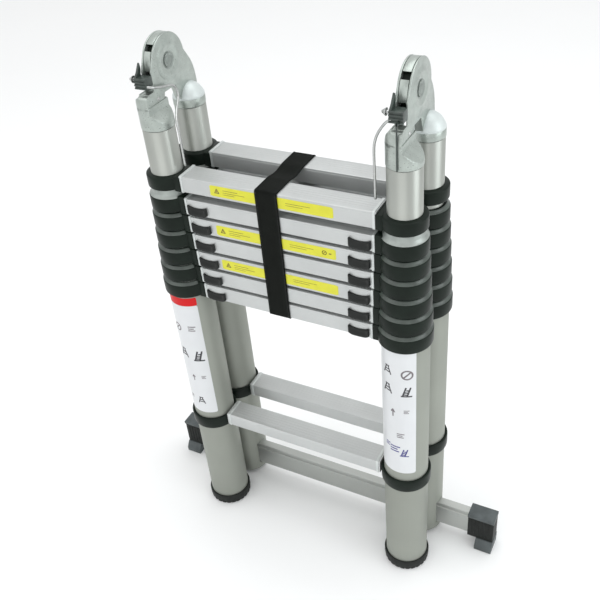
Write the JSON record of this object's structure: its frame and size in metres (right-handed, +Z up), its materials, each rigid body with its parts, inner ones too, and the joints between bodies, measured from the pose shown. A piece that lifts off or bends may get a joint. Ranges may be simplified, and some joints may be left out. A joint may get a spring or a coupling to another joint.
{
  "type": "telescopic double extension ladder",
  "caption": "Folding telescopic aluminium ladder: two halves of nested round tubes with flat rungs, joined by locking top hinges, with a wide foot bar and a carry strap.",
  "frame": {"origin": "floor plane under the middle of the folded, collapsed ladder, midway between the two halves and between the stiles", "axes": "+X along the rungs to the right as seen from the half without the foot bar, +Y towards the half with the foot bar, +Z up along the stiles"},
  "size_m": [0.698, 0.1754, 0.9709],
  "materials": {
    "tube_aluminium": "satin anodised, fine lengthwise grain",
    "rung_aluminium": "satin anodised extrusion with grip ribs",
    "collar_plastic": "moulded black nylon with a bevelled lip",
    "hinge_casting": "matt cast and stamped, worn edges",
    "hinge_steel": "plain steel",
    "latch_plastic": "moulded black nylon",
    "lock_plastic": "ribbed black nylon",
    "foot_rubber": "black rubber, ribbed sole",
    "bar_aluminium": "satin extrusion",
    "strap_webbing": "woven black webbing",
    "label_film": null,
    "rung_label_film": "printed film"
  },
  "bodies": {
    "rear_base": {"rear_base_tube_left": "tube_aluminium", "rear_base_tube_right": "tube_aluminium", "rear_base_upper_rung": "rung_aluminium", "rear_base_lower_rung": "rung_aluminium", "stabilizer_bar": "bar_aluminium", "bar_foot_left": "foot_rubber", "bar_foot_right": "foot_rubber", "bar_bolt_left": "hinge_steel", "bar_bolt_right": "hinge_steel"},
    "rear_tier_6": {"rear_section_6": "tube_aluminium"},
    "rear_tier_5": {"rear_section_5": "tube_aluminium"},
    "rear_tier_4": {"rear_section_4": "tube_aluminium"},
    "rear_tier_3": {"rear_section_3": "tube_aluminium"},
    "rear_tier_2": {"rear_section_2": "tube_aluminium"},
    "rear_top": {"rear_section_1": "tube_aluminium", "hinge_tongue_left": "hinge_casting", "hinge_tongue_right": "hinge_casting", "carry_strap": "strap_webbing"},
    "front_top": {"front_section_1": "tube_aluminium", "hinge_shell_left": "hinge_casting", "hinge_shell_right": "hinge_casting", "hinge_pin_left": "hinge_steel", "hinge_pin_right": "hinge_steel"},
    "front_tier_2": {"front_section_2": "tube_aluminium"},
    "front_tier_3": {"front_section_3": "tube_aluminium"},
    "front_tier_4": {"front_section_4": "tube_aluminium"},
    "front_tier_5": {"front_section_5": "tube_aluminium"},
    "front_tier_6": {"front_section_6": "tube_aluminium"},
    "front_base": {"front_base_tube_left": "tube_aluminium", "front_base_tube_right": "tube_aluminium", "front_base_upper_rung": "rung_aluminium", "front_base_lower_rung": "rung_aluminium", "front_foot_left": "foot_rubber", "front_foot_right": "foot_rubber"},
    "front_latch_2_left": {"front_latch_2_left": "latch_plastic"},
    "front_latch_2_right": {"front_latch_2_right": "latch_plastic"},
    "front_latch_3_left": {"front_latch_3_left": "latch_plastic"},
    "front_latch_3_right": {"front_latch_3_right": "latch_plastic"},
    "front_latch_4_left": {"front_latch_4_left": "latch_plastic"},
    "front_latch_4_right": {"front_latch_4_right": "latch_plastic"},
    "front_latch_5_left": {"front_latch_5_left": "latch_plastic"},
    "front_latch_5_right": {"front_latch_5_right": "latch_plastic"},
    "front_latch_6_left": {"front_latch_6_left": "latch_plastic"},
    "front_latch_6_right": {"front_latch_6_right": "latch_plastic"},
    "front_latch_7_left": {"front_latch_7_left": "latch_plastic"},
    "front_latch_7_right": {"front_latch_7_right": "latch_plastic"},
    "rear_latch_2_left": {"rear_latch_2_left": "latch_plastic"},
    "rear_latch_2_right": {"rear_latch_2_right": "latch_plastic"},
    "rear_latch_3_left": {"rear_latch_3_left": "latch_plastic"},
    "rear_latch_3_right": {"rear_latch_3_right": "latch_plastic"},
    "rear_latch_4_left": {"rear_latch_4_left": "latch_plastic"},
    "rear_latch_4_right": {"rear_latch_4_right": "latch_plastic"},
    "rear_latch_5_left": {"rear_latch_5_left": "latch_plastic"},
    "rear_latch_5_right": {"rear_latch_5_right": "latch_plastic"},
    "rear_latch_6_left": {"rear_latch_6_left": "latch_plastic"},
    "rear_latch_6_right": {"rear_latch_6_right": "latch_plastic"},
    "rear_latch_7_left": {"rear_latch_7_left": "latch_plastic"},
    "rear_latch_7_right": {"rear_latch_7_right": "latch_plastic"},
    "hinge_lock_left": {"hinge_lock_left": "lock_plastic"},
    "hinge_lock_right": {"hinge_lock_right": "lock_plastic"}
  },
  "joints": [
    {"name": "rear_extend_6", "type": "slide", "parent": "rear_base", "child": "rear_tier_6", "axis": [0, 0, 1], "range_m": [0, 0.27]},
    {"name": "rear_extend_5", "type": "slide", "parent": "rear_tier_6", "child": "rear_tier_5", "axis": [0, 0, 1], "range_m": [0, 0.27]},
    {"name": "rear_extend_4", "type": "slide", "parent": "rear_tier_5", "child": "rear_tier_4", "axis": [0, 0, 1], "range_m": [0, 0.27]},
    {"name": "rear_extend_3", "type": "slide", "parent": "rear_tier_4", "child": "rear_tier_3", "axis": [0, 0, 1], "range_m": [0, 0.27]},
    {"name": "rear_extend_2", "type": "slide", "parent": "rear_tier_3", "child": "rear_tier_2", "axis": [0, 0, 1], "range_m": [0, 0.27]},
    {"name": "rear_extend_1", "type": "slide", "parent": "rear_tier_2", "child": "rear_top", "axis": [0, 0, 1], "range_m": [0, 0.27]},
    {"name": "fold", "type": "hinge", "parent": "rear_top", "child": "front_top", "pos_m": [0, 0, 0.93], "axis": [-1, 0, 0], "range_deg": [0, 180], "deforming": ["carry_strap"]},
    {"name": "front_extend_2", "type": "slide", "parent": "front_top", "child": "front_tier_2", "axis": [0, 0, -1], "range_m": [0, 0.27]},
    {"name": "front_extend_3", "type": "slide", "parent": "front_tier_2", "child": "front_tier_3", "axis": [0, 0, -1], "range_m": [0, 0.27]},
    {"name": "front_extend_4", "type": "slide", "parent": "front_tier_3", "child": "front_tier_4", "axis": [0, 0, -1], "range_m": [0, 0.27]},
    {"name": "front_extend_5", "type": "slide", "parent": "front_tier_4", "child": "front_tier_5", "axis": [0, 0, -1], "range_m": [0, 0.27]},
    {"name": "front_extend_6", "type": "slide", "parent": "front_tier_5", "child": "front_tier_6", "axis": [0, 0, -1], "range_m": [0, 0.27]},
    {"name": "front_extend_7", "type": "slide", "parent": "front_tier_6", "child": "front_base", "axis": [0, 0, -1], "range_m": [0, 0.27]},
    {"name": "front_latch_2_left_slide", "type": "slide", "parent": "front_tier_2", "child": "front_latch_2_left", "axis": [1, 0, 0], "range_m": [0, 0.01], "stiffness_N_per_m": 150, "springref_m": -0.004},
    {"name": "front_latch_2_right_slide", "type": "slide", "parent": "front_tier_2", "child": "front_latch_2_right", "axis": [-1, 0, 0], "range_m": [0, 0.01], "stiffness_N_per_m": 150, "springref_m": -0.004},
    {"name": "front_latch_3_left_slide", "type": "slide", "parent": "front_tier_3", "child": "front_latch_3_left", "axis": [1, 0, 0], "range_m": [0, 0.01], "stiffness_N_per_m": 150, "springref_m": -0.004},
    {"name": "front_latch_3_right_slide", "type": "slide", "parent": "front_tier_3", "child": "front_latch_3_right", "axis": [-1, 0, 0], "range_m": [0, 0.01], "stiffness_N_per_m": 150, "springref_m": -0.004},
    {"name": "front_latch_4_left_slide", "type": "slide", "parent": "front_tier_4", "child": "front_latch_4_left", "axis": [1, 0, 0], "range_m": [0, 0.01], "stiffness_N_per_m": 150, "springref_m": -0.004},
    {"name": "front_latch_4_right_slide", "type": "slide", "parent": "front_tier_4", "child": "front_latch_4_right", "axis": [-1, 0, 0], "range_m": [0, 0.01], "stiffness_N_per_m": 150, "springref_m": -0.004},
    {"name": "front_latch_5_left_slide", "type": "slide", "parent": "front_tier_5", "child": "front_latch_5_left", "axis": [1, 0, 0], "range_m": [0, 0.01], "stiffness_N_per_m": 150, "springref_m": -0.004},
    {"name": "front_latch_5_right_slide", "type": "slide", "parent": "front_tier_5", "child": "front_latch_5_right", "axis": [-1, 0, 0], "range_m": [0, 0.01], "stiffness_N_per_m": 150, "springref_m": -0.004},
    {"name": "front_latch_6_left_slide", "type": "slide", "parent": "front_tier_6", "child": "front_latch_6_left", "axis": [1, 0, 0], "range_m": [0, 0.01], "stiffness_N_per_m": 150, "springref_m": -0.004},
    {"name": "front_latch_6_right_slide", "type": "slide", "parent": "front_tier_6", "child": "front_latch_6_right", "axis": [-1, 0, 0], "range_m": [0, 0.01], "stiffness_N_per_m": 150, "springref_m": -0.004},
    {"name": "front_latch_7_left_slide", "type": "slide", "parent": "front_base", "child": "front_latch_7_left", "axis": [1, 0, 0], "range_m": [0, 0.01], "stiffness_N_per_m": 150, "springref_m": -0.004},
    {"name": "front_latch_7_right_slide", "type": "slide", "parent": "front_base", "child": "front_latch_7_right", "axis": [-1, 0, 0], "range_m": [0, 0.01], "stiffness_N_per_m": 150, "springref_m": -0.004},
    {"name": "rear_latch_2_left_slide", "type": "slide", "parent": "rear_tier_2", "child": "rear_latch_2_left", "axis": [1, 0, 0], "range_m": [0, 0.01], "stiffness_N_per_m": 150, "springref_m": -0.004},
    {"name": "rear_latch_2_right_slide", "type": "slide", "parent": "rear_tier_2", "child": "rear_latch_2_right", "axis": [-1, 0, 0], "range_m": [0, 0.01], "stiffness_N_per_m": 150, "springref_m": -0.004},
    {"name": "rear_latch_3_left_slide", "type": "slide", "parent": "rear_tier_3", "child": "rear_latch_3_left", "axis": [1, 0, 0], "range_m": [0, 0.01], "stiffness_N_per_m": 150, "springref_m": -0.004},
    {"name": "rear_latch_3_right_slide", "type": "slide", "parent": "rear_tier_3", "child": "rear_latch_3_right", "axis": [-1, 0, 0], "range_m": [0, 0.01], "stiffness_N_per_m": 150, "springref_m": -0.004},
    {"name": "rear_latch_4_left_slide", "type": "slide", "parent": "rear_tier_4", "child": "rear_latch_4_left", "axis": [1, 0, 0], "range_m": [0, 0.01], "stiffness_N_per_m": 150, "springref_m": -0.004},
    {"name": "rear_latch_4_right_slide", "type": "slide", "parent": "rear_tier_4", "child": "rear_latch_4_right", "axis": [-1, 0, 0], "range_m": [0, 0.01], "stiffness_N_per_m": 150, "springref_m": -0.004},
    {"name": "rear_latch_5_left_slide", "type": "slide", "parent": "rear_tier_5", "child": "rear_latch_5_left", "axis": [1, 0, 0], "range_m": [0, 0.01], "stiffness_N_per_m": 150, "springref_m": -0.004},
    {"name": "rear_latch_5_right_slide", "type": "slide", "parent": "rear_tier_5", "child": "rear_latch_5_right", "axis": [-1, 0, 0], "range_m": [0, 0.01], "stiffness_N_per_m": 150, "springref_m": -0.004},
    {"name": "rear_latch_6_left_slide", "type": "slide", "parent": "rear_tier_6", "child": "rear_latch_6_left", "axis": [1, 0, 0], "range_m": [0, 0.01], "stiffness_N_per_m": 150, "springref_m": -0.004},
    {"name": "rear_latch_6_right_slide", "type": "slide", "parent": "rear_tier_6", "child": "rear_latch_6_right", "axis": [-1, 0, 0], "range_m": [0, 0.01], "stiffness_N_per_m": 150, "springref_m": -0.004},
    {"name": "rear_latch_7_left_slide", "type": "slide", "parent": "rear_base", "child": "rear_latch_7_left", "axis": [1, 0, 0], "range_m": [0, 0.01], "stiffness_N_per_m": 150, "springref_m": -0.004},
    {"name": "rear_latch_7_right_slide", "type": "slide", "parent": "rear_base", "child": "rear_latch_7_right", "axis": [-1, 0, 0], "range_m": [0, 0.01], "stiffness_N_per_m": 150, "springref_m": -0.004},
    {"name": "hinge_lock_left_slide", "type": "slide", "parent": "front_top", "child": "hinge_lock_left", "axis": [0, 0, -1], "range_m": [0, 0.008], "stiffness_N_per_m": 400, "springref_m": -0.005},
    {"name": "hinge_lock_right_slide", "type": "slide", "parent": "front_top", "child": "hinge_lock_right", "axis": [0, 0, -1], "range_m": [0, 0.008], "stiffness_N_per_m": 400, "springref_m": -0.005}
  ]
}
